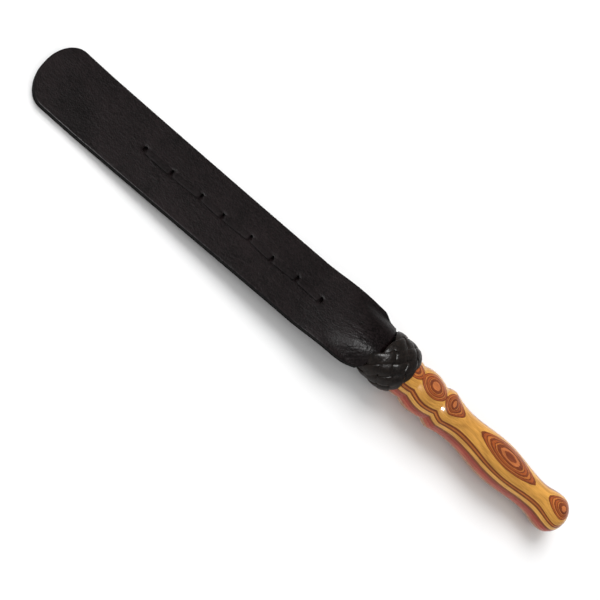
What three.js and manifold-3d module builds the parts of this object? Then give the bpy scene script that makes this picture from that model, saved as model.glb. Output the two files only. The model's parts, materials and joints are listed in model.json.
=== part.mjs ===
// A handled leather strop: two leather plies laced along their middle, gathered round the tenon
// of a turned handle, tacked, whipped with thread and covered by a braided Turk's head knot.
// Millimetres. +X runs from the blade's tip to the pommel, +Z is up, and the origin is on the
// resting surface, below the middle of the strop.

import * as THREE from 'three';
import { mergeVertices } from 'three/addons/utils/BufferGeometryUtils.js';
import Module from 'manifold-3d';

const wasm = await Module();
wasm.setup();

// ---------------------------------------------------------------- driving dimensions
const blade_length = 294; // from the tip to the knot's mouth
const blade_width = 50.8;
const ply_thickness = 2.3;
const knot_length = 26;
const knot_radius = 20.2;
const handle_length = 169.5; // from the knot to the end of the pommel
const tenon_radius = 10;
const tenon_reach = 20; // how far the tenon reaches into the blade, past the knot's mouth
const lace_width = 4.2; // the lace along the blade's middle
const lace_thickness = 1.1;
const braid_width = 6; // the lace of the Turk's head
const braid_thickness = 1;
const braid_leads = 5;
const braid_bights = 8;
const touching_gap = 0.3; // between faces that touch on the real strop
const ply_face = ply_thickness + touching_gap / 2; // off the blade's middle surface

// ---------------------------------------------------------------- blade outline and lie
const tip_round = 16.5; // length of the round end
const tip_blunt = 0.8; // how much of the round end's point is flattened
const shoulder_length = 30; // where the blade narrows towards the knot
const shoulder_drop = 6; // how much each side narrows
const mouth_flare = 6; // length over which the round neck opens into the blade
const hump_length = 44; // the plies rise over the tenon within this distance of the mouth
const hump_height = 10.6;
const hump_half_width = 19;
const flat_end = 24; // length of the blade's end that lies flat
const lifted_at = 50; // from flat_end to here the blade bends up to its slope, lift_slope
const lift_slope = 0.055;
const droop_near = 22; // from here to droop_far past the mouth the blade bends down
const droop_far = 64;
const neck_depth = 22; // how far the plies go into the knot

const total_length = blade_length + knot_length + handle_length;
const tip_x = -total_length / 2;
const mouth_x = tip_x + blade_length;
const knot_end_x = mouth_x + knot_length;

// ---------------------------------------------------------------- handle outline
// Crests and hollows of the turned handle, measured from the knot towards the pommel.
// "round" leaves its hollow sharply and is flat at its crest, "wave" is flat at both.
const bead_1 = { at: -1.2, radius: 15.6 };
const groove_1 = { at: 7.5, radius: 14.5, shape: 'round' };
const bead_2 = { at: 18, radius: 16.7, shape: 'round' };
const groove_2 = { at: 31, radius: 14.2, shape: 'round' };
const ridge = { at: 38.4, radius: 16.5, shape: 'round' };
const neck = { at: 59, radius: 13.4, shape: 'sharp' };
const grip = { at: 97, radius: 16.3, shape: 'wave' };
const waist = { at: 138, radius: 12.7, shape: 'wave' };
const pommel = { at: 157.5, radius: 15.3, shape: 'wave' };
const tenon_shoulder = -4; // where bead_1 steps down to the tenon
const tenon_blend = 1; // length over which the tenon's round end reaches its full radius
const bead_edge = 1; // height of bead_1's rounded edge

// The handle lies on the knot and on the pommel, so its axis slopes down to the pommel.
const knot_middle = -knot_length / 2;
const handle_slope = (knot_radius - pommel.radius) / (pommel.at - knot_middle);

// ---------------------------------------------------------------- helpers
const { cos, sin, sqrt, abs, PI } = Math;
const mix = THREE.MathUtils.lerp;
const smooth = THREE.MathUtils.smoothstep;
const clamp = THREE.MathUtils.clamp;

function named(name, geometry, color, roughness, metalness = 0) {
  const material = new THREE.MeshStandardMaterial({ color, roughness, metalness });
  const mesh = new THREE.Mesh(geometry, material);
  mesh.name = name;
  return mesh;
}

// Moves every vertex of a geometry to the point that place(x, y, z) returns.
function shaped(geometry, place) {
  const position = geometry.attributes.position;
  for (let i = 0; i < position.count; i += 1) {
    const point = place(position.getX(i), position.getY(i), position.getZ(i));
    position.setXYZ(i, point.x, point.y, point.z);
  }
  return geometry;
}

function solid(geometry) {
  const bare = geometry.clone();
  bare.deleteAttribute('normal');
  bare.deleteAttribute('uv');
  const welded = mergeVertices(bare);
  const vertProperties = new Float32Array(welded.attributes.position.array);
  const triVerts = new Uint32Array(welded.index.array);
  return new wasm.Manifold(new wasm.Mesh({ numProp: 3, vertProperties, triVerts }));
}

function geometryOf(manifold) {
  const { vertProperties, triVerts, numProp } = manifold.getMesh();
  const geometry = new THREE.BufferGeometry();
  geometry.setAttribute('position', new THREE.BufferAttribute(vertProperties, numProp));
  geometry.setIndex(new THREE.BufferAttribute(triVerts, 1));
  geometry.computeVertexNormals();
  return geometry;
}

// A solid of revolution about X. Each outline point is [distance along X, radius].
function turned(outline, sides) {
  const profile = outline.map(([along, radius]) => new THREE.Vector2(radius, along));
  return new THREE.LatheGeometry(profile, sides).rotateZ(-PI / 2);
}

// ---------------------------------------------------------------- the blade's middle surface
// Distances along the blade are measured from its tip.
function handleHeight(along) {
  const from_knot_middle = along - blade_length - knot_length / 2;
  return knot_radius - handle_slope * from_knot_middle;
}

const mouth_height = handleHeight(blade_length);
const bend_middle = (flat_end + lifted_at) / 2;
const straight_rise = lift_slope * (blade_length - bend_middle);
const curl = (mouth_height - ply_face - straight_rise) / (blade_length - lifted_at) ** 2;

function middleHeight(along) {
  const bending = clamp(along - flat_end, 0, lifted_at - flat_end);
  const past_bend = Math.max(0, along - lifted_at);
  const bend_rise = (lift_slope * bending ** 2) / (2 * (lifted_at - flat_end));
  const lying = ply_face + bend_rise + lift_slope * past_bend + curl * past_bend ** 2;
  const gathered = smooth(along, blade_length - droop_far, blade_length - droop_near);
  return mix(lying, handleHeight(along), gathered);
}

function middleSlope(along) {
  const step = 0.5;
  return (middleHeight(along + step) - middleHeight(along - step)) / (2 * step);
}

// A point at a distance along the blade, across it, and off its middle surface.
function onBlade(along, across, off) {
  const slope = middleSlope(along);
  const lean = sqrt(1 + slope * slope);
  return new THREE.Vector3(
    tip_x + along - (off * slope) / lean,
    across,
    middleHeight(along) + off / lean,
  );
}

function halfWidth(along) {
  const full = blade_width / 2;
  const into_tip = clamp((along + tip_blunt) / tip_round, 0, 1);
  const into_shoulder = clamp((along - blade_length + shoulder_length) / shoulder_length, 0, 1);
  const round_end = full * sqrt(1 - (1 - into_tip) ** 2);
  return round_end - shoulder_drop * into_shoulder ** 2;
}

function humpRise(along, across) {
  const height = hump_height * smooth(along, blade_length - hump_length, blade_length - mouth_flare);
  const out = clamp(across / hump_half_width, -1, 1);
  return height * cos((out * PI) / 2) ** 2;
}

// ---------------------------------------------------------------- plies
const tip_steps = 6;
const blade_steps = 7;
const gather_steps = 12;
const neck_steps = 3;
const flare_steps = 4;
const ply_steps_across = 10;

function plyStations() {
  const first_angle = Math.acos(1 - tip_blunt / tip_round);
  const gather_start = blade_length - droop_far;
  const neck_end = blade_length + neck_depth;
  const stations = [];
  for (let i = 0; i < tip_steps; i += 1) {
    const angle = mix(first_angle, PI / 2, i / tip_steps);
    stations.push(tip_round * (1 - cos(angle)) - tip_blunt);
  }
  const tip_end = tip_round - tip_blunt;
  stations.push(tip_end, flat_end, bend_middle, lifted_at);
  for (let i = 1; i <= blade_steps; i += 1) {
    stations.push(mix(lifted_at, gather_start, i / blade_steps));
  }
  for (let i = 1; i <= gather_steps; i += 1) {
    stations.push(mix(gather_start, blade_length - mouth_flare, i / gather_steps));
  }
  for (let i = 1; i <= flare_steps; i += 1) {
    stations.push(mix(blade_length - mouth_flare, blade_length, i / flare_steps));
  }
  for (let i = 1; i <= neck_steps; i += 1) {
    stations.push(mix(blade_length, neck_end, i / neck_steps));
  }
  return stations;
}

// side is 1 for the ply on top and -1 for the one below.
function plyGeometry(side) {
  const stations = plyStations();
  const last = stations.length - 1;
  const box = new THREE.BoxGeometry(1, 1, 1, last, ply_steps_across, 1);
  const edge_angle = PI / 2 - touching_gap / tenon_radius;
  return shaped(box, (x, y, z) => {
    const along = stations[Math.round((x + 0.5) * last)];
    const depth = (0.5 + side * z) * ply_thickness;
    const opened = 1 - smooth(along, blade_length - mouth_flare, blade_length);
    const across = 2 * y * halfWidth(Math.min(along, blade_length));
    const lift = touching_gap / 2 + humpRise(along, across) + depth;
    const wrap_radius = tenon_radius + touching_gap + depth;
    const wrap_angle = 2 * y * edge_angle;
    const wide = mix(wrap_radius * sin(wrap_angle), across, opened);
    const high = mix(wrap_radius * cos(wrap_angle), lift, opened);
    return onBlade(along, wide, side * high);
  });
}

// ---------------------------------------------------------------- lace and its holes
// The holes were punched by eye, so their pitch wanders a little.
const holes_from_tip = [85, 108, 133, 152, 176, 196, 218, 240];
const hole_length = 3.4;
const hole_width = 4.8;
const lace_leg = 1.6; // thickness of the lace, doubled, where it goes through a hole
const lace_leg_width = 3.6;
const plug_overlap = 1; // how far a cutting plug passes the faces that it cuts
const plug_sides = 16;

// A plug that cuts one oval hole through both plies.
function holeCutter(along) {
  const reach = 2 * (ply_face + plug_overlap);
  const plug = new THREE.CylinderGeometry(0.5, 0.5, reach, plug_sides).rotateX(PI / 2);
  return solid(shaped(plug, (x, y, z) => onBlade(along + x * hole_length, y * hole_width, z)));
}

function laceGeometry() {
  const first = holes_from_tip[0] - lace_leg / 2;
  const last = holes_from_tip[holes_from_tip.length - 1] + lace_leg / 2;
  const underside = ply_face + touching_gap;
  const strip_steps = 28;
  const strip = (side) => {
    const box = new THREE.BoxGeometry(1, lace_width, lace_thickness, strip_steps, 1, 1);
    const off = side * (underside + lace_thickness / 2);
    return solid(shaped(box, (x, y, z) => onBlade(mix(first, last, x + 0.5), y, z + off)));
  };
  let lace = strip(1).add(strip(-1));
  for (const along of holes_from_tip) {
    const leg_height = 2 * underside + lace_thickness;
    const box = new THREE.BoxGeometry(lace_leg, lace_leg_width, leg_height);
    lace = lace.add(solid(shaped(box, (x, y, z) => onBlade(along + x, y, z))));
  }
  return geometryOf(lace);
}

// ---------------------------------------------------------------- tacks
const tack_at = -8; // from the knot's wood end, along the handle's axis
const tack_angles = [45, 135, 225, 315]; // round the axis, from +Y
const tack_shank_radius = 0.7;
const tack_head_radius = 2.4;
const tack_head_height = 0.7;
const tack_crown_radius = 1.44; // the flat of the head, inside its bevel
const tack_taper = 1.5; // length of the point
const tack_sides = 8;
const tack_depth = 5;

const tack_seat = tenon_radius + ply_thickness + 2 * touching_gap; // underside of the head
const tack_point = tack_seat - ply_thickness - tack_depth;

function onTack(outline, degrees) {
  const upright = turned(outline, tack_sides).rotateZ(PI / 2);
  return upright.rotateX((degrees * PI) / 180).translate(tack_at, 0, 0);
}

// A tack that points at the axis, in the handle's own frame.
function tackGeometry(degrees) {
  const top = tack_seat + tack_head_height;
  const outline = [
    [tack_point, 0],
    [tack_point + tack_taper, tack_shank_radius],
    [tack_seat, tack_shank_radius],
    [tack_seat, tack_head_radius],
    [(tack_seat + top) / 2, tack_head_radius],
    [top, tack_crown_radius],
    [top, 0],
  ];
  return onTack(outline, degrees);
}

function tackHole(degrees) {
  const radius = tack_shank_radius + touching_gap;
  const start = tack_point - touching_gap;
  const end = tack_seat + tack_head_height;
  return solid(onTack([[start, 0], [start, radius], [end, radius], [end, 0]], degrees));
}

// ---------------------------------------------------------------- handle
const handle_sides = 36;
const profile_step = 5;

function radiusBetween(from, to, t) {
  if (to.shape === 'wave') return mix(from.radius, to.radius, (1 - cos(PI * t)) / 2);
  if (to.shape === 'sharp') return mix(from.radius, to.radius, sin((PI / 2) * t));
  const rising = to.radius > from.radius;
  return mix(from.radius, to.radius, rising ? sin((PI / 2) * t) : 1 - cos((PI / 2) * t));
}

function handleOutline() {
  const tenon_start = -knot_length - tenon_reach;
  const tip_radius = tenon_radius / 2;
  const outline = [];
  for (const angle of [0, 30, 60, 90]) {
    const turn = (angle * PI) / 180;
    outline.push([tenon_start + tip_radius * (1 - cos(turn)), tip_radius * sin(turn)]);
  }
  outline.push([-knot_length + tenon_blend, tenon_radius], [tenon_shoulder, tenon_radius]);
  outline.push([tenon_shoulder, bead_1.radius - bead_edge], [bead_1.at, bead_1.radius]);
  const features = [bead_1, groove_1, bead_2, groove_2, ridge, neck, grip, waist, pommel];
  for (let i = 1; i < features.length; i += 1) {
    const [from, to] = [features[i - 1], features[i]];
    const steps = Math.max(3, Math.round((to.at - from.at) / profile_step));
    for (let k = 1; k <= steps; k += 1) {
      const t = k / steps;
      outline.push([mix(from.at, to.at, t), radiusBetween(from, to, t)]);
    }
  }
  const dome_steps = 6;
  for (let k = 1; k < dome_steps; k += 1) {
    const turn = ((PI / 2) * k) / dome_steps;
    outline.push([mix(pommel.at, handle_length, sin(turn)), pommel.radius * cos(turn)]);
  }
  outline.push([handle_length, 0]);
  return outline;
}

function handleGeometry() {
  let wood = solid(turned(handleOutline(), handle_sides));
  for (const angle of tack_angles) wood = wood.subtract(tackHole(angle));
  return geometryOf(wood);
}

// ---------------------------------------------------------------- bindings under the knot
const binding_inner = tenon_radius + ply_thickness + 3 * touching_gap;
const thread_radius = 0.55;
const whipping_turns = 10;
const whipping_start = -23;
const foundation_start = -23.2;
const foundation_end = -4.4;
const foundation_thickness = 1.9;
const foundation_bevel = 1.4;
const foundation_seam = 1; // between the strip's two ends
const binding_sides = 32;

function whippingGeometry() {
  const pitch = 2 * thread_radius;
  const outline = [[whipping_start, binding_inner]];
  for (let turn = 0; turn < whipping_turns; turn += 1) {
    const start = whipping_start + turn * pitch;
    outline.push([start, binding_inner + thread_radius]);
    outline.push([start + thread_radius, binding_inner + 2 * thread_radius]);
  }
  const end = whipping_start + whipping_turns * pitch;
  outline.push([end, binding_inner + thread_radius], [end, binding_inner], outline[0]);
  return turned(outline, binding_sides);
}

// One turn of a leather strip, with the small gap where its ends meet.
function foundationGeometry() {
  const inner = binding_inner + 2 * thread_radius + touching_gap;
  const outer = inner + foundation_thickness;
  const bevel = foundation_bevel;
  const ring = turned(
    [
      [foundation_start, inner],
      [foundation_start, outer - bevel],
      [foundation_start + bevel, outer],
      [foundation_end - bevel, outer],
      [foundation_end, outer - bevel],
      [foundation_end, inner],
      [foundation_start, inner],
    ],
    binding_sides,
  );
  const seam = new THREE.BoxGeometry(2 * knot_length, foundation_seam, 2 * outer);
  seam.translate(knot_middle, 0, -outer);
  return geometryOf(solid(ring).subtract(solid(seam)));
}

// ---------------------------------------------------------------- Turk's head knot
// One flat lace goes "leads" times round the neck while it swings "bights" times from side to
// side. Counted in crossings, it turns back at every multiple of "leads", and at the steps
// between them it goes over and under in turn.
const braid_steps_per_crossing = 4;
const braid_layer = braid_thickness + 0.42; // how far the lace moves in to pass under itself
const level_change = 2.2; // how quickly the lace changes level between two crossings
const knot_end_drop = 2.4; // how much smaller the knot is at its ends
const knot_fullness = 3.5; // how long the knot keeps its radius before it drops

function knotSurface(along) {
  const out = abs((along - knot_middle) / (knot_length / 2));
  return knot_radius - knot_end_drop * out ** knot_fullness;
}

function overUnder(crossings) {
  const traverse = Math.floor(crossings / braid_leads);
  const into = crossings - traverse * braid_leads;
  const counted = clamp(into, 1, braid_leads - 1);
  const turning = (into - counted) / 2;
  const order = traverse * (braid_leads - 1) + counted + turning;
  return clamp(level_change * cos(PI * order), -1, 1);
}

// The middle of the lace's path, off its surface by "off".
function braidPoint(crossings) {
  const swing = (knot_length - braid_width) / 2;
  const along = knot_middle + swing * cos((PI * crossings) / braid_leads);
  return onKnot(along, (PI * crossings) / braid_bights, crossings, 0);
}

// A point on the lace, at a place along the handle's axis and a turn round it.
function onKnot(along, turn, crossings, off) {
  const level = (overUnder(crossings) - 1) / 2;
  const radius = knotSurface(along) - braid_thickness / 2 + level * braid_layer + off;
  return new THREE.Vector3(along, radius * cos(turn), radius * sin(turn));
}

function braidGeometry() {
  const crossings = 2 * braid_leads * braid_bights;
  const end_gap = 0.05; // the lace's two ends meet under a crossing
  const nearby = 0.02;
  const steps = crossings * braid_steps_per_crossing;
  const box = new THREE.BoxGeometry(1, braid_width, braid_thickness, steps, 1, 1);
  return shaped(box, (x, y, z) => {
    const at = 1 + mix(end_gap, crossings - end_gap, x + 0.5);
    const here = braidPoint(at);
    const ahead = braidPoint(at + nearby).sub(braidPoint(at - nearby)).setLength(1);
    const outwards = new THREE.Vector3(0, here.y, here.z).setLength(1);
    const sideways = new THREE.Vector3().crossVectors(outwards, ahead).setLength(1);
    const edge = here.addScaledVector(sideways, y);
    return onKnot(edge.x, Math.atan2(edge.z, edge.y), at, z);
  });
}

// ---------------------------------------------------------------- assembly
const leather_black = 0x2a2624;
const lace_black = 0x1d1c1c;
const wood_orange = 0xb87236;
const thread_black = 0x26221f;
const tack_steel = 0x8f8f8c;

function plies() {
  const place = handleFrame(new THREE.Group());
  place.updateMatrix();
  const tack_holes = tack_angles.map((angle) => tackHole(angle).transform(place.matrix.elements));
  const cutters = [...holes_from_tip.map(holeCutter), ...tack_holes];
  return [
    ['front_ply', 1],
    ['back_ply', -1],
  ].map(([name, side]) => {
    let leather = solid(plyGeometry(side));
    for (const cutter of cutters) leather = leather.subtract(cutter);
    return named(name, geometryOf(leather), leather_black, 0.55);
  });
}

// The handle's own frame: X along its axis, from the knot's wood end.
function handleFrame(group) {
  group.position.set(knot_end_x, 0, knot_radius + handle_slope * knot_middle);
  group.rotation.y = Math.atan(handle_slope);
  return group;
}

function handleEnd() {
  const group = handleFrame(new THREE.Group());
  group.add(named('handle', handleGeometry(), wood_orange, 0.3));
  tack_angles.forEach((angle, i) => {
    group.add(named(`neck_tack_${i + 1}`, tackGeometry(angle), tack_steel, 0.4, 1));
  });
  group.add(named('neck_whipping', whippingGeometry(), thread_black, 0.8));
  group.add(named('knot_foundation', foundationGeometry(), leather_black, 0.7));
  group.add(named('turks_head_lace', braidGeometry(), lace_black, 0.35));
  return group;
}

const strop = new THREE.Group();
strop.add(handleEnd(), ...plies(), named('center_lace', laceGeometry(), lace_black, 0.4));

export default strop;
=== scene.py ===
"""A handled leather strop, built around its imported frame.

The turned handle of laminated wood, two leather plies, the lace along their middle and the Turk's
head knot round the neck are finished here, with their materials, the light and the camera.
Metres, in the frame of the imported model: +X runs from the blade's tip to the pommel, +Z is up.
"""
import json
import math

import bmesh
import bpy
from mathutils import Matrix, Vector, noise
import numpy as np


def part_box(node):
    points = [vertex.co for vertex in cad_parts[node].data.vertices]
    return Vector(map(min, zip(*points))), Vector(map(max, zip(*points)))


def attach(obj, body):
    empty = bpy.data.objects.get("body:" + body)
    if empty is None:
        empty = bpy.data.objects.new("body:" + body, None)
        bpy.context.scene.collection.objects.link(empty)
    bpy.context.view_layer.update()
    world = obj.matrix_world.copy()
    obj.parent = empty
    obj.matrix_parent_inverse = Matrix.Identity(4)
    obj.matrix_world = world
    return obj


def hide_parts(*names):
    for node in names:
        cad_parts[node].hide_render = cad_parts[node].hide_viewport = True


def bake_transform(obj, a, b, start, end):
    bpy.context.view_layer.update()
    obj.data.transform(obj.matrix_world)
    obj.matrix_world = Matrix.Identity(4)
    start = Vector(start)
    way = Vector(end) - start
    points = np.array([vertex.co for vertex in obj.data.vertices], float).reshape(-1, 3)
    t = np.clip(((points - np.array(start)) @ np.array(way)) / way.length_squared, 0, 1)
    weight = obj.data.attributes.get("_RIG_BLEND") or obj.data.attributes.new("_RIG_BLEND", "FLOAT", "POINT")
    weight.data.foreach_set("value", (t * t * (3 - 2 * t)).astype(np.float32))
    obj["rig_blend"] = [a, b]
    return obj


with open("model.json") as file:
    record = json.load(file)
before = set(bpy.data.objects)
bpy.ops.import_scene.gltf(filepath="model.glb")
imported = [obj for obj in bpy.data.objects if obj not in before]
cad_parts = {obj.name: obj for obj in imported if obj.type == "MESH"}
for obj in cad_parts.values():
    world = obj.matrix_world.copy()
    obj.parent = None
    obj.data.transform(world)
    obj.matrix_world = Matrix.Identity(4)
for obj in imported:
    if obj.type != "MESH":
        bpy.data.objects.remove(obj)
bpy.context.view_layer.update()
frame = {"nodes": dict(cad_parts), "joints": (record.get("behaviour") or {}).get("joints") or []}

mm = 0.001

# ---------------------------------------------------------------- driving dimensions
ply_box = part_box("front_ply")
knot_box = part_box("turks_head_lace")
pivot = Vector(frame["joints"][0]["pos_m"])

tip_x = ply_box[0].x
blade_width = ply_box[1].y - ply_box[0].y
knot_radius = knot_box[1].y
blade_length = 294 * mm  # from the tip to the knot's mouth
knot_length = 26 * mm
handle_length = 169.5 * mm
ply_thickness = 2.3 * mm
gap = 0.3 * mm  # between faces that touch on the real strop
tenon_radius = 10 * mm
tenon_reach = 20 * mm
neck_depth = 22 * mm  # how far the plies go into the knot


# ---------------------------------------------------------------- helpers
def mix(a, b, t):
    return a + (b - a) * t


def clamp(value, low=0.0, high=1.0):
    return min(high, max(low, value))


def smooth(value, low, high):
    t = clamp((value - low) / (high - low))
    return t * t * (3 - 2 * t)


def bell(value, width):
    return math.exp(-((value / width) ** 2))


def linear(red, green, blue):
    """A colour given as 0 to 255 for the screen, as the renderer's linear values."""
    def one(c):
        c /= 255
        return c / 12.92 if c <= 0.04045 else ((c + 0.055) / 1.055) ** 2.4
    return (one(red), one(green), one(blue), 1.0)


def mesh_object(name, points, faces, material):
    mesh = bpy.data.meshes.new(name)
    mesh.from_pydata(points, [], faces)
    mesh.update()
    obj = bpy.data.objects.new(name, mesh)
    bpy.context.scene.collection.objects.link(obj)
    mesh.materials.append(material)
    return obj


def loft(loops, closed=False):
    """Points and faces of a closed skin through loops of equal length. With closed, the last
    loop joins the first; otherwise both ends are capped."""
    size = len(loops[0])
    points = [point for loop in loops for point in loop]
    faces = []
    spans = len(loops) if closed else len(loops) - 1
    for i in range(spans):
        here = i * size
        there = ((i + 1) % len(loops)) * size
        for k in range(size):
            after = (k + 1) % size
            faces.append((here + k, here + after, there + after, there + k))
    if not closed:
        faces.append(tuple(reversed(range(size))))
        faces.append(tuple(range((len(loops) - 1) * size, len(loops) * size)))
    return points, faces


def finish_mesh(obj, crease_degrees=40):
    """Faces point out, shading is smooth, and edges sharper than the crease stay sharp."""
    skin = bmesh.new()
    skin.from_mesh(obj.data)
    bmesh.ops.recalc_face_normals(skin, faces=skin.faces)
    limit = math.radians(crease_degrees)
    for face in skin.faces:
        face.smooth = True
    for edge in skin.edges:
        edge.smooth = len(edge.link_faces) == 2 and edge.calc_face_angle(0) < limit
    skin.to_mesh(obj.data)
    skin.free()


# ---------------------------------------------------------------- camera
def add_camera():
    """Looks down on the strop from the tip's side, turned so the blade runs to the upper left."""
    azimuth = math.radians(-121.33)
    elevation = math.radians(59.12)
    roll = math.radians(69.88)
    distance = 0.9
    aim_from_tip = 228.7 * mm
    aim = Vector((tip_x + aim_from_tip, -9 * mm, 15 * mm))
    back = Vector((
        math.cos(elevation) * math.cos(azimuth),
        math.cos(elevation) * math.sin(azimuth),
        math.sin(elevation),
    ))
    level = (-back).cross(Vector((0, 0, 1))).normalized()
    upright = level.cross(-back)
    right = level * math.cos(roll) + upright * math.sin(roll)
    up = right.cross(-back)
    camera = bpy.data.objects.new("camera", bpy.data.cameras.new("camera"))
    turned = Matrix((right, up, back)).transposed().to_4x4()
    camera.matrix_world = Matrix.Translation(aim + back * distance) @ turned
    camera.data.lens = 79.75
    camera.data.sensor_width = 36
    camera.data.clip_end = 20
    bpy.context.scene.collection.objects.link(camera)
    bpy.context.scene.camera = camera


# ---------------------------------------------------------------- node materials
class Finish:
    """Short calls for building one node material on a Principled shader."""

    def __init__(self, name, **sockets):
        self.material = bpy.data.materials.new(name)
        self.material.use_nodes = True
        self.tree = self.material.node_tree
        self.shader = self.tree.nodes["Principled BSDF"]
        self.place = self.node("ShaderNodeTexCoord").outputs["Object"]
        for socket, value in sockets.items():
            self.shader.inputs[socket.replace("_", " ")].default_value = value

    def node(self, kind, **settings):
        made = self.tree.nodes.new(kind)
        for setting, value in settings.items():
            setattr(made, setting, value)
        return made

    def join(self, value, socket):
        """A number, colour or another node's output goes into a socket."""
        if isinstance(value, bpy.types.NodeSocket):
            self.tree.links.new(value, socket)
        else:
            socket.default_value = value

    def sums(self, operation, *values):
        made = self.node("ShaderNodeMath", operation=operation)
        for value, socket in zip(values, made.inputs):
            self.join(value, socket)
        return made.outputs[0]

    def stretched(self, stretch):
        """The place on the object, scaled along its axes. A low number draws a pattern out."""
        made = self.node("ShaderNodeMapping")
        self.join(self.place, made.inputs["Vector"])
        made.inputs["Scale"].default_value = stretch
        return made.outputs[0]

    def noise(self, per_metre, detail=3.0, rough=0.55, stretch=(1, 1, 1)):
        made = self.node("ShaderNodeTexNoise")
        self.join(self.stretched(stretch), made.inputs["Vector"])
        made.inputs["Scale"].default_value = per_metre
        made.inputs["Detail"].default_value = detail
        made.inputs["Roughness"].default_value = rough
        return made.outputs["Fac"]

    def pebbles(self, per_metre):
        made = self.node("ShaderNodeTexVoronoi", feature="SMOOTH_F1")
        self.join(self.place, made.inputs["Vector"])
        made.inputs["Scale"].default_value = per_metre
        made.inputs["Smoothness"].default_value = 0.6
        return made.outputs["Distance"]

    def painted(self, name):
        """A value that is kept on the mesh. It is 0 where the mesh has none."""
        return self.node("ShaderNodeAttribute", attribute_name=name).outputs["Fac"]

    def ranged(self, value, low, high, to_low=0.0, to_high=1.0):
        """The value, carried from the range low to high to another range, and kept in it."""
        made = self.node("ShaderNodeMapRange")
        for given, socket in zip((value, low, high, to_low, to_high), made.inputs):
            self.join(given, socket)
        return made.outputs[0]

    def blended(self, factor, a, b):
        made = self.node("ShaderNodeMix", data_type="RGBA")
        self.join(factor, made.inputs["Factor"])
        self.join(a, made.inputs[6])
        self.join(b, made.inputs[7])
        return made.outputs[2]

    def bands(self, value, stops):
        """Bands of plain colour. Stops are (where the band starts, its colour)."""
        made = self.node("ShaderNodeValToRGB")
        ramp = made.color_ramp
        ramp.interpolation = "CONSTANT"
        ramp.elements[0].position = stops[0][0]
        ramp.elements[0].color = stops[0][1]
        ramp.elements.remove(ramp.elements[1])
        for place, colour in stops[1:]:
            ramp.elements.new(place).color = colour
        self.join(value, made.inputs[0])
        return made.outputs[0]

    def bump(self, height, distance, strength=1.0, over=None):
        made = self.node("ShaderNodeBump")
        self.join(strength, made.inputs["Strength"])
        made.inputs["Distance"].default_value = distance
        self.join(height, made.inputs["Height"])
        if over is not None:
            self.join(over, made.inputs["Normal"])
        return made.outputs[0]

    def to(self, socket, value):
        self.join(value, self.shader.inputs[socket])


def leather(name, tones, roughness, pebble, depth, **sockets):
    """Pebbled leather. Tones are its darkest and lightest colour, roughness is its range,
    pebble is the grain's pitch and depth how deep it is. It is smoother where the mesh is painted
    "burnish", and dark and dull where it is painted "cut_edge"."""
    made = Finish(name, **sockets)
    burnish = made.painted("burnish")
    cut_edge = made.painted("cut_edge")
    cloud = made.noise(38, detail=4, rough=0.6)
    speckle = made.noise(750, detail=3)
    tone = made.sums("ADD", made.sums("MULTIPLY", cloud, 0.4), made.sums("MULTIPLY", speckle, 0.6))
    grain_tone = made.blended(made.ranged(tone, 0.4, 0.6), *tones)
    made.to("Base Color", made.blended(cut_edge, grain_tone, linear(8, 7, 7)))
    rough = made.ranged(tone, 0.4, 0.6, *roughness)
    rough = made.sums("MULTIPLY_ADD", burnish, -0.22, rough)
    made.to("Roughness", made.sums("MULTIPLY_ADD", cut_edge, 0.3, rough))
    grain = made.pebbles(1 / pebble)
    creases = made.noise(1 / (3 * pebble), detail=5, rough=0.65, stretch=(0.7, 1, 1))
    relief = made.sums("MULTIPLY_ADD", burnish, -0.8, 1.0)
    soft = made.bump(creases, 3 * depth, relief)
    made.to("Normal", made.bump(grain, depth, relief, over=soft))
    return made


def blade_leather():
    made = leather(
        "blade_leather",
        tones=(linear(5, 2, 2), linear(23, 15, 16)),
        roughness=(0.44, 0.56),
        pebble=1.1 * mm,
        depth=0.16 * mm,
        Specular_IOR_Level=0.07,
    )
    return made.material


def lace_leather():
    made = leather(
        "lace_leather",
        tones=(linear(5, 2, 2), linear(22, 15, 16)),
        roughness=(0.4, 0.5),
        pebble=0.7 * mm,
        depth=0.05 * mm,
        Specular_IOR_Level=0.08,
    )
    return made.material


def knot_leather():
    made = leather(
        "knot_leather",
        tones=(linear(12, 8, 6), linear(30, 22, 18)),
        roughness=(0.28, 0.4),
        pebble=0.8 * mm,
        depth=0.08 * mm,
        Specular_IOR_Level=0.11,
    )
    return made.material


def foundation_leather():
    made = leather(
        "foundation_leather",
        tones=(linear(26, 22, 20), linear(50, 42, 36)),
        roughness=(0.65, 0.8),
        pebble=0.6 * mm,
        depth=0.05 * mm,
    )
    return made.material


def waxed_thread():
    made = Finish("waxed_thread")
    strands = made.noise(1500, detail=2, stretch=(0.35, 1, 1))
    made.to("Base Color", made.blended(strands, linear(14, 12, 11), linear(34, 30, 27)))
    made.to("Roughness", made.ranged(strands, 0.3, 0.7, 0.55, 0.75))
    made.to("Normal", made.bump(strands, 0.1 * mm))
    return made.material


def tack_steel():
    made = Finish("tack_steel", Metallic=1.0)
    stains = made.noise(900, detail=4)
    made.to("Base Color", made.blended(stains, linear(110, 108, 104), linear(190, 188, 184)))
    made.to("Roughness", made.ranged(stains, 0.3, 0.7, 0.25, 0.5))
    made.to("Normal", made.bump(stains, 0.02 * mm))
    return made.material


# Colours of the dyed veneers.
peach = linear(190, 110, 56)
orange = linear(160, 78, 25)
amber = linear(186, 108, 44)
yellow = linear(209, 151, 66)
straw = linear(226, 168, 82)
brown = linear(118, 52, 12)
umber = linear(132, 60, 22)
rust = linear(160, 58, 38)
rose = linear(178, 86, 60)
tan = linear(176, 132, 98)

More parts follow.
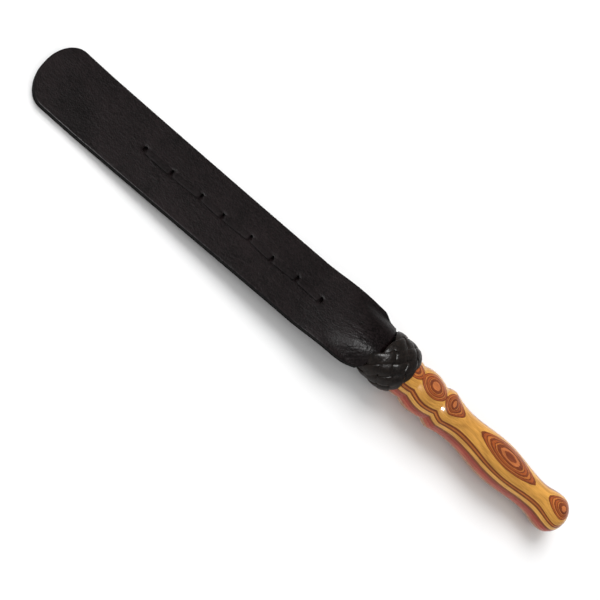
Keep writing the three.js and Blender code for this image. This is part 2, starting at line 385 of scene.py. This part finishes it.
# The veneers from the top of the handle down: the height of each one's underside above the
# handle's axis, in millimetres, and its colour.
veneers = [
    (17.3, peach),
    (16.84, umber),
    (16.5, peach),
    (16.12, brown),
    (15.96, amber),
    (15.8, brown),
    (15.5, orange),
    (15.25, brown),
    (14.95, amber),
    (14.8, brown),
    (14.5, orange),
    (14.3, brown),
    (10.4, yellow),
    (9.2, brown),
    (8.1, amber),
    (7.1, brown),
    (4.5, straw),
    (3.7, brown),
    (2.6, umber),
    (0.0, rust),
    (-3.8, rose),
    (-7.5, tan),
    (-10.6, yellow),
    (-12.2, brown),
    (-14.6, orange),
    (-18.0, peach),
]


veneer_lean = math.radians(7.5)  # the layers lie lower on the -Y side
veneer_reach = 18 * mm  # how far the layers go above and below the axis
veneer_sway = 0.3 * mm
veneer_fuzz = 0.12 * mm
# The top veneers thin towards the pommel, so each lies lower there: by thinning times the
# distance from the knot to a power, in full above thinned_above and not at all below kept_below.
thinning = 0.0215
thinning_power = 1.5
kept_below = 9.5 * mm
thinned_above = 11.7 * mm


def veneer_level(made, along, across, high):
    """Height in the stack of veneers, as a node output."""
    on_axis = made.sums("MULTIPLY_ADD", along, -handle_slope, axis_height_at_origin)
    above = made.sums("SUBTRACT", high, on_axis)
    level = made.sums("MULTIPLY_ADD", across, math.tan(veneer_lean), above)
    out = made.sums("MAXIMUM", made.sums("SUBTRACT", along, wood_end_x), 0.0)
    lower = made.sums("MULTIPLY", made.sums("POWER", out, thinning_power), thinning)
    share = made.ranged(above, kept_below, thinned_above)
    level = made.sums("MULTIPLY_ADD", lower, share, level)
    sway = made.noise(30, detail=1.5)
    level = made.sums("ADD", level, made.ranged(sway, 0, 1, -veneer_sway, veneer_sway))
    fuzz = made.noise(700, detail=3, stretch=(0.08, 1, 1))
    return made.sums("ADD", level, made.ranged(fuzz, 0, 1, -veneer_fuzz, veneer_fuzz))


def wood_streaks(made, along, across, level, fibre):
    """Light and dark streaks that follow the fibres and differ from one veneer to the next."""
    in_layer = made.node("ShaderNodeCombineXYZ")
    for value, share, socket in zip((along, across, level), (0.06, 0.2, 1), in_layer.inputs):
        made.join(made.sums("MULTIPLY", value, share), socket)
    figure = made.node("ShaderNodeTexNoise")
    made.join(in_layer.outputs[0], figure.inputs["Vector"])
    figure.inputs["Scale"].default_value = 1100
    figure.inputs["Detail"].default_value = 2
    fine = made.sums("MULTIPLY", fibre, 0.35)
    streaks = made.sums("MULTIPLY_ADD", figure.outputs["Fac"], 0.65, fine)
    return made.blended(made.ranged(streaks, 0.3, 0.62), linear(194, 184, 174), (1, 1, 1, 1))


def laminated_wood():
    """Dyed veneers in level layers, so that the turned surface cuts them into rings."""
    made = Finish(
        "laminated_wood", Coat_Weight=0.4, Coat_Roughness=0.05, Specular_IOR_Level=0.1
    )
    split = made.node("ShaderNodeSeparateXYZ")
    made.join(made.place, split.inputs[0])
    along, across, high = split.outputs
    level = veneer_level(made, along, across, high)
    stops = []
    for bottom, colour in reversed(veneers):
        start = (bottom * mm + veneer_reach) / (2 * veneer_reach)
        stops.append((clamp(start), colour))
    layers = made.bands(made.ranged(level, -veneer_reach, veneer_reach), stops)
    fibre = made.noise(1500, detail=4, rough=0.7, stretch=(0.03, 1, 1))
    shade = wood_streaks(made, along, across, level, fibre)
    tinted = made.node("ShaderNodeMix", data_type="RGBA", blend_type="MULTIPLY")
    tinted.inputs["Factor"].default_value = 1
    made.join(layers, tinted.inputs[6])
    made.join(shade, tinted.inputs[7])
    made.to("Base Color", tinted.outputs[2])
    made.to("Roughness", made.ranged(fibre, 0.3, 0.7, 0.22, 0.34))
    made.to("Normal", made.bump(fibre, 0.012 * mm))
    return made.material


# ---------------------------------------------------------------- handle
# Crests and hollows, measured from the knot's wood end: place, radius, and how the outline
# arrives there. "wave" is flat at both ends. "round" is flat at the crest and sharp at the
# hollow, and "sharp" the other way about.
handle_features = [
    (-1.2 * mm, 15.6 * mm, "wave"),
    (7.5 * mm, 14.5 * mm, "round"),
    (18 * mm, 16.7 * mm, "round"),
    (31 * mm, 14.2 * mm, "round"),
    (38.4 * mm, 16.5 * mm, "round"),
    (59 * mm, 13.4 * mm, "sharp"),
    (97 * mm, 16.3 * mm, "wave"),
    (138 * mm, 12.7 * mm, "wave"),
    (157.5 * mm, 15.3 * mm, "wave"),
]
pommel_at, pommel_radius = handle_features[-1][:2]
tenon_shoulder = -4 * mm  # where the first bead steps down to the tenon
tenon_blend = 1 * mm  # length over which the tenon's round end reaches its full radius
end_flat = 0.2 * mm  # radius of the pommel's last point, closed by a flat

# The handle lies on the knot and on the pommel, so its axis slopes down to the pommel.
handle_slope = (knot_radius - pommel_radius) / (pommel_at + knot_length / 2)
handle_tilt = math.atan(handle_slope)
wood_end_x = tip_x + blade_length + knot_length
wood_end_height = knot_radius - handle_slope * knot_length / 2
axis_height_at_origin = wood_end_height + handle_slope * wood_end_x


def on_handle(along, radius, angle):
    """A point off the handle's axis, along it from the knot's wood end. Angle 0 is +Y."""
    across = radius * math.cos(angle)
    off = radius * math.sin(angle)
    x = wood_end_x + along * math.cos(handle_tilt) + off * math.sin(handle_tilt)
    z = wood_end_height - along * math.sin(handle_tilt) + off * math.cos(handle_tilt)
    return Vector((x, across, z))


def radius_between(start, end, t, shape):
    if shape == "wave":
        return mix(start, end, (1 - math.cos(math.pi * t)) / 2)
    if shape == "sharp" or end > start:
        return mix(start, end, math.sin(math.pi / 2 * t))
    return mix(start, end, 1 - math.cos(math.pi / 2 * t))


def handle_outline():
    """The handle's outline as (distance along its axis, radius), from the tenon's round end."""
    step = 0.9 * mm
    tenon_end = -knot_length - tenon_reach
    tip_radius = tenon_radius / 2
    tip_steps = 6
    bead_edge = 1 * mm
    outline = []
    for i in range(1, tip_steps + 1):
        turn = math.pi / 2 * i / tip_steps
        outline.append((tenon_end + tip_radius * (1 - math.cos(turn)), tip_radius * math.sin(turn)))
    outline.append((-knot_length + tenon_blend, tenon_radius))
    outline.append((tenon_shoulder, tenon_radius))
    start, radius, _ = handle_features[0]
    outline.append((tenon_shoulder, radius - bead_edge))
    outline.append((start, radius))
    for at, end_radius, shape in handle_features[1:]:
        count = round((at - start) / step)
        for k in range(1, count + 1):
            t = k / count
            outline.append((mix(start, at, t), radius_between(radius, end_radius, t, shape)))
        start, radius = at, end_radius
    dome_steps = 20
    for k in range(1, dome_steps):
        turn = math.pi / 2 * k / dome_steps
        outline.append((mix(start, handle_length, math.sin(turn)), radius * math.cos(turn)))
    outline.append((handle_length, end_flat))
    return outline


def add_handle():
    sides = 128
    loops = []
    for along, radius in handle_outline():
        loops.append([on_handle(along, radius, 2 * math.pi * k / sides) for k in range(sides)])
    points, faces = loft(loops)
    handle = mesh_object("turned_handle", points, faces, laminated_wood())
    finish_mesh(handle, crease_degrees=50)
    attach(handle, "handle_end")
    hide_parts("handle")


# ---------------------------------------------------------------- the blade's middle surface
# Distances along the blade are measured from its tip.
tip_round = 16.5 * mm
square_shoulder = 4.8 * mm  # how much the +Y shoulder narrows
square_length = 12.5 * mm
round_shoulder = 7.4 * mm  # how much the -Y shoulder narrows, over a longer and rounder corner
round_length = 31 * mm
round_shoulder_end = 3 * mm  # how far short of the mouth that corner ends
shoulder_droop = 0.06  # how steeply the blade's -Y side hangs down near the handle
hang_far = 90 * mm  # it starts to hang down this far from the mouth
hang_near = 30 * mm
mouth_flare = 2.4 * mm
mouth_slant = 0.17  # the mouth of the knot lies aslant, nearer the tip on the -Y side
hump_length = 44 * mm
hump_height = 10.6 * mm
hump_half_width = 22 * mm
hump_flatness = 3.5  # a higher number keeps the hump's top flat further out
hump_softness = 1.5  # a higher number runs its foot out more softly
flat_end = 24 * mm  # length of the blade's end that lies flat
lifted_at = 50 * mm  # from flat_end to here the blade bends up to its slope
lift_slope = 0.055
droop_near = 22 * mm  # between these two places, from the mouth, it bends down to the handle
droop_far = 64 * mm

tip_height = ply_thickness + gap / 2
bend_length = lifted_at - flat_end
bend_middle = (flat_end + lifted_at) / 2


def axis_height(along):
    """Height of the handle's axis, carried on over the blade."""
    return knot_radius - handle_slope * (along - blade_length - knot_length / 2)


straight_rise = lift_slope * (blade_length - bend_middle)
curl = (axis_height(blade_length) - tip_height - straight_rise) / (blade_length - lifted_at) ** 2


def middle_height(along):
    """Height of the face between the two plies."""
    bending = clamp(along - flat_end, 0, bend_length)
    past = max(0, along - lifted_at)
    lying = tip_height + lift_slope * bending**2 / (2 * bend_length) + lift_slope * past
    gathered = smooth(along, blade_length - droop_far, blade_length - droop_near)
    return mix(lying + curl * past**2, axis_height(along), gathered)


def on_blade(along, across, off):
    """A point along the blade, across it, and off its middle surface."""
    step = 0.5 * mm
    slope = (middle_height(along + step) - middle_height(along - step)) / (2 * step)
    lean = math.hypot(1, slope)
    return Vector((tip_x + along - off * slope / lean, across, middle_height(along) + off / lean))


def half_width(along, side):
    """Half the blade's width there, towards +Y for side 1 and towards -Y for side -1."""
    full = blade_width / 2
    into_tip = clamp(along / tip_round)
    round_end = full * math.sqrt(1 - (1 - into_tip) ** 2)
    if side > 0:
        return round_end - square_shoulder * smooth(along, blade_length - square_length, blade_length)
    corner = round_length - round_shoulder_end
    into_shoulder = clamp((along - blade_length + round_length) / corner)
    return round_end - round_shoulder * into_shoulder**3


def hump_rise(along, across):
    height = hump_height * smooth(along, blade_length - hump_length, blade_length - mouth_flare)
    out = clamp(abs(across) / hump_half_width)
    return height * (1 - out**hump_flatness) ** hump_softness


# ---------------------------------------------------------------- lace holes
# The holes were punched by eye: place along the blade, and across it.
lace_holes = [
    (85 * mm, 0.6 * mm),
    (108 * mm, 0.2 * mm),
    (133 * mm, 1.2 * mm),
    (152 * mm, 0.4 * mm),
    (176 * mm, 1.6 * mm),
    (196 * mm, 0.2 * mm),
    (218 * mm, 1.2 * mm),
    (240 * mm, 0.0),
]
hole_length = 3.4 * mm
hole_width = 4.8 * mm
hole_dent_depth = 1.1 * mm
hole_dent_reach = 2.3 * mm


def hole_dent(along, across):
    """How far the face is drawn in round the holes, where the lace pulls on it."""
    dent = 0
    for hole, middle in lace_holes:
        away = math.hypot(along - hole, across - middle)
        dent += hole_dent_depth * bell(away, hole_dent_reach)
    return dent


def hole_cutter():
    """One mesh of oval plugs that cut all the holes through a ply."""
    sides = 24
    overlap = 2 * mm
    reach = ply_thickness + overlap
    points, faces = [], []
    for along, across in lace_holes:
        loops = []
        for off in (-reach, reach):
            loop = []
            for k in range(sides):
                turn = 2 * math.pi * k / sides
                x = along + hole_length / 2 * math.cos(turn)
                y = across + hole_width / 2 * math.sin(turn)
                loop.append(on_blade(x, y, off))
            loops.append(loop)
        more, skins = loft(loops)
        faces += [tuple(i + len(points) for i in face) for face in skins]
        points += more
    mesh = bpy.data.meshes.new("hole_cutter")
    mesh.from_pydata(points, [], faces)
    cutter = bpy.data.objects.new("hole_cutter", mesh)
    bpy.context.scene.collection.objects.link(cutter)
    finish_mesh(cutter)
    return cutter


def cut(obj, cutter):
    boolean = obj.modifiers.new("holes", "BOOLEAN")
    boolean.object = cutter
    boolean.operation = "DIFFERENCE"
    boolean.solver = "EXACT"
    shaped = bpy.data.meshes.new_from_object(
        obj.evaluated_get(bpy.context.evaluated_depsgraph_get())
    )
    obj.modifiers.clear()
    obj.data = shaped


# ---------------------------------------------------------------- plies
outer_arris = 0.6 * mm  # rounding of a ply's outer edge
arris_middle = outer_arris / 2
inner_arris = 0.25 * mm
wave_depth = 0.12 * mm
crease_depth = 0.17 * mm
fine_crease_depth = 0.2 * mm
crease_far = 42 * mm  # the creases start this far from the mouth, and are full at crease_near
crease_near = 16 * mm
crease_end = 5 * mm
fan_centre = 10 * mm  # they fan out from here, past the mouth
relief_margin = 1.5 * mm  # the edges of a ply's face stay even
cut_face_inset = 0.2 * mm  # the cut edge's colour reaches this far in from the outline


def ply_point(along, across, depth, side):
    """A point of a ply. Depth is 0 on its inner face, and side is 1 for the ply on top."""
    into_mouth = along - blade_length - mouth_slant * across
    opened = 1 - smooth(into_mouth, -mouth_flare, 0)
    edge_angle = math.pi / 2 - gap / tenon_radius
    wrap_radius = tenon_radius + gap + depth
    side_width = half_width(min(along, blade_length), across)
    wrap_angle = clamp(across / side_width, -1, 1) * edge_angle
    hang = shoulder_droop * smooth(along, blade_length - hang_far, blade_length - hang_near)
    lift = gap / 2 + hump_rise(along, across) + depth + side * hang * min(across, 0)
    wide = mix(wrap_radius * math.sin(wrap_angle), across, opened)
    high = mix(wrap_radius * math.cos(wrap_angle), lift, opened)
    return on_blade(along, wide, side * high)


def wrinkles(along, across, side):
    """Fine creases that fan out from the neck over the hump, and a slow waviness."""
    seed = 3.7 * side  # the two plies crease differently
    wave = noise.noise(Vector((along * 60, across * 60, seed)))
    back = blade_length + fan_centre - along
    fan = math.atan2(across, back)
    near = smooth(along, blade_length - crease_far, blade_length - crease_near)
    near *= 1 - smooth(along, blade_length - crease_end, blade_length)
    near *= mix(0.4, 1, smooth(-across, -4 * mm, 8 * mm))  # they are deeper on the -Y side
    crease = noise.noise(Vector((fan * 26, back * 90, seed)))
    fine = noise.noise(Vector((fan * 70, back * 200, seed + 5)))
    return wave_depth * wave + near * (crease_depth * crease + fine_crease_depth * fine)


def ply_stations():
    """Places along the blade where the ply's section is drawn, close together at both ends."""
    stations = []
    tip_steps = 22
    first_step = 0.6  # the first section is this share of a step in, so that it has some width
    for i in range(tip_steps):
        turn = math.pi / 2 * (i + first_step) / tip_steps
        stations.append(tip_round * (1 - math.cos(turn)))
    plain_end = blade_length - 60 * mm
    plain_steps = 200
    for i in range(plain_steps):
        stations.append(mix(tip_round, plain_end, i / plain_steps))
    near_end = blade_length + 3 * mm
    near_steps = 120
    for i in range(near_steps):
        stations.append(mix(plain_end, near_end, i / near_steps))
    neck_steps = 12
    for i in range(neck_steps + 1):
        stations.append(mix(near_end, blade_length + neck_depth, i / neck_steps))
    return stations


def outline_normal(along, side):
    """Direction out of the blade's outline at one edge, along the blade and across it."""
    step = 0.01 * mm
    straight_from = blade_length - 4 * mm
    rise = half_width(along + step, side) - half_width(max(along - step, 0), side)
    rise /= 2 * step
    if along > straight_from:
        rise = 0
    length = math.hypot(1, rise)
    return -rise / length, 1 / length


def rim_corner(radius, steps, upper):
    """Inset from the edge and depth, round one corner of a ply's rim, from its wall inwards."""
    corner = []
    for i in range(steps + 1):
        turn = math.pi / 2 * i / steps
        inset = radius * (1 - math.cos(turn))
        drop = radius * (1 - math.sin(turn))
        corner.append((inset, ply_thickness - drop if upper else drop))
    return corner


def ply_section(along, side):
    """The closed section of a ply: its outer face, round one rim, its inner face, and back."""
    columns = 92
    edges = {}
    for sign in (1, -1):
        reach = half_width(min(along, blade_length), sign)
        edges[sign] = (reach, *outline_normal(along, sign))
    upper = rim_corner(outer_arris, 4, True)
    lower = rim_corner(inner_arris, 2, False)
    rim = list(reversed(upper)) + lower

    def inside(sign, inset):
        reach, out_along, out_across = edges[sign]
        return along - inset * out_along, sign * (reach - inset * out_across)

    def face(depth, inset, relief):
        row = []
        first_along, first = inside(-1, inset)
        last_along, last = inside(1, inset)
        for i in range(1, columns):
            at = mix(first_along, last_along, i / columns)
            across = mix(first, last, i / columns)
            shift = 0
            if relief:
                shift = wrinkles(at, across, side) - hole_dent(at, across)
                shift *= smooth(min(across - first, last - across), 0, relief_margin)
            row.append(ply_point(at, across, depth + shift, side))
        return row

    def wall(sign):
        return [ply_point(*inside(sign, inset), depth, side) for inset, depth in rim]

    outer = face(ply_thickness, outer_arris, True)
    inner = face(0, inner_arris, False)
    return outer + wall(1) + inner[::-1] + wall(-1)[::-1]


def paint_leather(obj):
    """Marks where the leather is drawn smooth, over the tenon, round the holes and along its
    arris, and where its cut edge is."""
    tenon_far, tenon_near, tenon_width = 32 * mm, 12 * mm, 13 * mm
    attributes = obj.data.attributes
    for name in ("burnish", "cut_edge"):
        attributes.new(name, "FLOAT", "POINT")
    painted = (attributes["burnish"].data, attributes["cut_edge"].data)
    for point, smoothed, bare in zip(obj.data.vertices, *painted):
        along = point.co.x - tip_x
        across = point.co.y
        over_tenon = smooth(along, blade_length - tenon_far, blade_length - tenon_near)
        shine = over_tenon * bell(across, tenon_width)
        for hole, middle in lace_holes:
            shine += bell(math.hypot(along - hole, across - middle), hole_dent_reach)
        inset = half_width(clamp(along, 0, blade_length), across) - abs(across)
        smoothed.value = shine + bell(inset - arris_middle, arris_middle)
        bare.value = 1 - smooth(inset, 0.02 * mm, cut_face_inset)


def add_ply(name, node, side, cutter, material):
    points, faces = loft([ply_section(along, side) for along in ply_stations()])
    ply = mesh_object(name, points, faces, material)
    finish_mesh(ply)
    cut(ply, cutter)
    finish_mesh(ply)
    paint_leather(ply)
    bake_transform(ply, "handle_end", "blade", start=bend_start, end=bend_end)
    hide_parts(node)


# The blade bends round the pivot between these two points.
bend_reach = 31 * mm
bend_start = pivot + Vector((bend_reach, 0, 0))
bend_end = pivot - Vector((bend_reach, 0, 0))


# ---------------------------------------------------------------- flat laces
def lace_section(width, thickness, crown):
    """A flat lace's section as (sideways, outwards): flat below, crowned above, round edges.
    Crown is the share of its thickness that it loses at its edges."""
    steps = 10
    section = []
    for i in range(steps + 1):
        side = mix(-1, 1, i / steps)
        top = thickness * (0.5 - crown * side**4)
        section.append((side * width / 2, top))
    edge = thickness * (0.5 - crown)
    rounding = min(edge + thickness / 2, thickness) / 2
    bulge = 0.4 * rounding
    section.append((width / 2 + bulge, edge - rounding))
    for i in range(steps, -1, -1):
        side = mix(-1, 1, i / steps)
        section.append((side * width / 2, -thickness / 2))
    section.append((-width / 2 - bulge, edge - rounding))
    return section


lace_width = 4.9 * mm
lace_thickness = 0.9 * mm
lace_offset = 0.9 * mm  # the lace lies a little aside from its holes, to -Y on the top
lace_tail = 7 * mm  # its ends are tucked away on the underside, past the first and last hole
lace_crown = 0.12
leg_width = 2.6 * mm  # it is folded this narrow where it goes through a hole
folded_to, fold_ends = 0.6 * mm, 2.2 * mm  # from the hole: fully folded, and flat again
rise_starts, risen_at = 0.1 * mm, 1.75 * mm  # from the hole: inside it, and on the face
passing_room = 0.5 * mm  # each pass lies this far from the middle of the hole
face_off = ply_thickness + gap / 2  # the blade's face, off its middle surface


def lace_pass(first_side):
    """One pass of the lace through all the holes, on the top and the underside in turn, as
    (along, across, off, width). It folds narrow at the holes, and the two passes go by each
    other inside them."""
    path = []
    on_face = face_off + lace_thickness * 0.4
    fold = (lace_width - leg_width) / 2
    beside = passing_room * first_side
    side = first_side
    steps = 48

    def station(along, hole_line, from_hole, side):
        folded = 1 - smooth(from_hole, folded_to, fold_ends)
        passing = 1 - smooth(from_hole, 0, 2 * passing_room)
        risen = smooth(from_hole, rise_starts, risen_at)
        aside = side * risen * (lace_offset + fold * folded)
        across = hole_line - aside + beside * passing
        width = mix(lace_width, leg_width, folded)
        path.append((along, across, side * on_face * risen, width))

    if first_side > 0:
        start, start_y = lace_holes[0]
        for i in range(steps // 2):
            from_hole = lace_tail * (1 - 2 * i / steps)
            station(start - from_hole, start_y, from_hole, -1)
    for (start, start_y), (end, end_y) in zip(lace_holes, lace_holes[1:]):
        for i in range(steps):
            t = i / steps
            from_hole = min(t, 1 - t) * (end - start)
            station(mix(start, end, t), mix(start_y, end_y, t), from_hole, side)
        side = -side
    last, last_y = lace_holes[-1]
    station(last, last_y, 0, side)
    if first_side > 0:
        for i in range(1, steps // 2):
            from_hole = 2 * lace_tail * i / steps
            station(last + from_hole, last_y, from_hole, -1)
    return path


def swept(path, outwards, thickness, crown):
    """A lace along path, a list of (point, width), with its face towards outwards."""
    loops = []
    for i, (point, width) in enumerate(path):
        before = path[max(i - 1, 0)][0]
        after = path[min(i + 1, len(path) - 1)][0]
        ahead = (after - before).normalized()
        sideways = outwards.cross(ahead).normalized()
        out = ahead.cross(sideways)
        section = lace_section(width, thickness, crown)
        loops.append([point + sideways * s + out * o for s, o in section])
    return loft(loops)


def add_center_lace():
    blade_upwards = Vector((0.02, 0, 1))  # leans a little, so that it never lies along the lace
    points, faces = [], []
    for first_side in (1, -1):
        route = lace_pass(first_side)
        path = [(on_blade(along, across, off), width) for along, across, off, width in route]
        more, skins = swept(path, blade_upwards, lace_thickness, lace_crown)
        faces += [tuple(i + len(points) for i in face) for face in skins]
        points += more
    lace = mesh_object("lacing", points, faces, lace_leather())
    finish_mesh(lace, crease_degrees=55)
    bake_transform(lace, "handle_end", "blade", start=bend_start, end=bend_end)
    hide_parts("center_lace")


# ---------------------------------------------------------------- Turk's head knot
# One flat lace goes "leads" times round the neck while it swings "bights" times from side to
# side. Counted in crossings, it turns back at every multiple of "leads", and at the steps
# between them it goes over and under in turn.
leads = 5
bights = 8
braid_width = 8.6 * mm
braid_thickness = 1.15 * mm
braid_layer = 0.7 * mm  # how far the lace moves in or out from its middle level
braid_crown = 0.42
level_gain = 1.15  # flattens the lace where it lies fully over or under
wood_end_drop = 3.2 * mm  # how much smaller the knot is at its ends
blade_end_drop = 1.6 * mm
knot_bulge = 0.9 * mm  # it stands out further on its +Y side
blade_end_slant = 0.15  # the knot is pushed aslant on the neck
wood_end_slant = 0.06
braid_phase = math.radians(25)  # where round the neck its bights lie
loose_bight = 3.2 * mm  # one bight stands out over the blade, on the side towards -Y
loose_turn = math.radians(137.5)
loose_spread = 0.3  # how far round the neck it is loose, in radians
knot_overhang = 2.4 * mm  # how far the knot reaches over the blade, past its mouth
knot_middle = -(knot_length + knot_overhang) / 2
knot_reach = (knot_length + knot_overhang) / 2
braid_swing = knot_reach - braid_width / 2


def knot_surface(along):
    out = (along - knot_middle) / knot_reach
    drop = wood_end_drop if out > 0 else blade_end_drop
    return knot_radius - drop * abs(out) ** 3


def crossings_from_end(along):
    """How many crossings a place along the knot is from its wood end."""
    swung = clamp((along - knot_middle) / braid_swing, -1, 1)
    return leads / math.pi * math.acos(swung)


def over_under(along, turn, crossings):
    """Level of the lace there, from -1 under to 1 over. It follows where the crossing laces
    lie, so that a wide lace changes level along their edges."""
    rounds, into = divmod(crossings, 2 * leads)
    around = (turn - braid_phase) * bights / math.pi - rounds * 2 * leads
    from_end = crossings_from_end(along)
    if into <= leads:
        met = (around + from_end) / 2
    else:
        met = (around - from_end) / 2 + leads
    traverse = math.floor(met / leads)
    counted = clamp(met - traverse * leads, 1, leads - 1)
    turning = (met - traverse * leads - counted) / 2
    level = math.cos(math.pi * (traverse * (leads - 1) + counted + turning))
    return clamp(level_gain * level, -1, 1)


def on_knot(along, turn, crossings, off):
    middle = knot_surface(along) - braid_layer - braid_thickness / 2
    middle += knot_bulge * max(0, math.cos(turn))
    radius = middle + braid_layer * over_under(along, turn, crossings) + off
    towards_wood = clamp((along - knot_middle) / knot_reach / 2 + 0.5)
    slant = mix(blade_end_slant, wood_end_slant, towards_wood) * knot_radius * math.cos(turn)
    return on_handle(along + slant, radius, turn)


def braid_place(crossings):
    """Where the lace's middle is after so many crossings: along the axis and round it."""
    swing = math.cos(math.pi * crossings / leads)
    turn = math.pi * crossings / bights + braid_phase
    away = math.remainder(turn - loose_turn, 2 * math.pi)
    loose = loose_bight * bell(away, loose_spread) * max(0, -swing) ** 3
    return knot_middle + braid_swing * swing - loose, turn


def add_knot():
    steps_per_crossing = 14
    total = 2 * leads * bights
    section = lace_section(braid_width, braid_thickness, braid_crown)
    nearby = 0.01
    loops = []
    for i in range(total * steps_per_crossing):
        crossings = 1 + i / steps_per_crossing
        along, turn = braid_place(crossings)
        next_along, next_turn = braid_place(crossings + nearby)
        ahead = Vector((next_along - along, (next_turn - turn) * knot_radius)).normalized()
        loop = []
        for sideways, off in section:
            there = along + sideways * ahead.y
            turned = turn - sideways * ahead.x / knot_radius
            loop.append(on_knot(there, turned, crossings, off))
        loops.append(loop)
    points, faces = loft(loops, closed=True)
    knot = mesh_object("turks_head_knot", points, faces, knot_leather())
    finish_mesh(knot, crease_degrees=55)
    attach(knot, "handle_end")
    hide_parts("turks_head_lace")


# ---------------------------------------------------------------- light and floor
def add_floor():
    mesh = bpy.data.meshes.new("floor")
    side = 3
    corners = [(-side, -side, 0), (side, -side, 0), (side, side, 0), (-side, side, 0)]
    mesh.from_pydata(corners, [], [(0, 1, 2, 3)])
    floor = bpy.data.objects.new("floor", mesh)
    bpy.context.scene.collection.objects.link(floor)
    paper = Finish("floor_paper", Roughness=0.9, Specular_IOR_Level=0.1)
    mottle = paper.noise(8, detail=2)
    paper.to("Base Color", paper.blended(mottle, (0.86, 0.86, 0.86, 1), (0.88, 0.88, 0.88, 1)))
    mesh.materials.append(paper.material)


def aimed_light(name, kind, direction, distance=1.0, glossy=True, diffuse=True, **settings):
    """A light that shines at the strop from a direction given as azimuth and elevation. It can
    be left out of reflections, or show in them only."""
    azimuth, elevation = (math.radians(angle) for angle in direction)
    back = Vector((
        math.cos(elevation) * math.cos(azimuth),
        math.cos(elevation) * math.sin(azimuth),
        math.sin(elevation),
    ))
    light = bpy.data.lights.new(name, kind)
    for setting, value in settings.items():
        setattr(light, setting, value)
    lamp = bpy.data.objects.new(name, light)
    lamp.visible_glossy = glossy
    lamp.visible_diffuse = diffuse
    lamp.location = back * distance
    lamp.rotation_euler = back.to_track_quat("Z", "Y").to_euler()
    bpy.context.scene.collection.objects.link(lamp)


def add_lights():
    world = bpy.data.worlds.new("studio")
    bpy.context.scene.world = world
    world.use_nodes = True
    background = world.node_tree.nodes["Background"]
    background.inputs["Color"].default_value = (1, 1, 1, 1)
    background.inputs["Strength"].default_value = 0.7
    aimed_light(
        "main_light", "SUN", (118, 52), glossy=False, energy=2.25, angle=math.radians(44)
    )
    aimed_light(
        "front_softbox", "AREA", (-133, 67), distance=0.9, diffuse=False, energy=20, size=0.12
    )


def use_plain_colours():
    bpy.context.scene.view_settings.view_transform = "Standard"


# ---------------------------------------------------------------- assembly
def finish_hidden_parts():
    """The parts of the model that stay as they are get their materials."""
    finishes = {
        "neck_tack": tack_steel(),
        "neck_whipping": waxed_thread(),
        "knot_foundation": foundation_leather(),
    }
    for name, node in frame["nodes"].items():
        for start, material in finishes.items():
            if name.startswith(start):
                node.data.materials.clear()
                node.data.materials.append(material)


add_camera()
add_handle()
holes = hole_cutter()
ply_material = blade_leather()
add_ply("front_leather", "front_ply", 1, holes, ply_material)
add_ply("back_leather", "back_ply", -1, holes, ply_material)
bpy.data.objects.remove(holes)
add_center_lace()
add_knot()
finish_hidden_parts()
add_floor()
add_lights()
use_plain_colours()
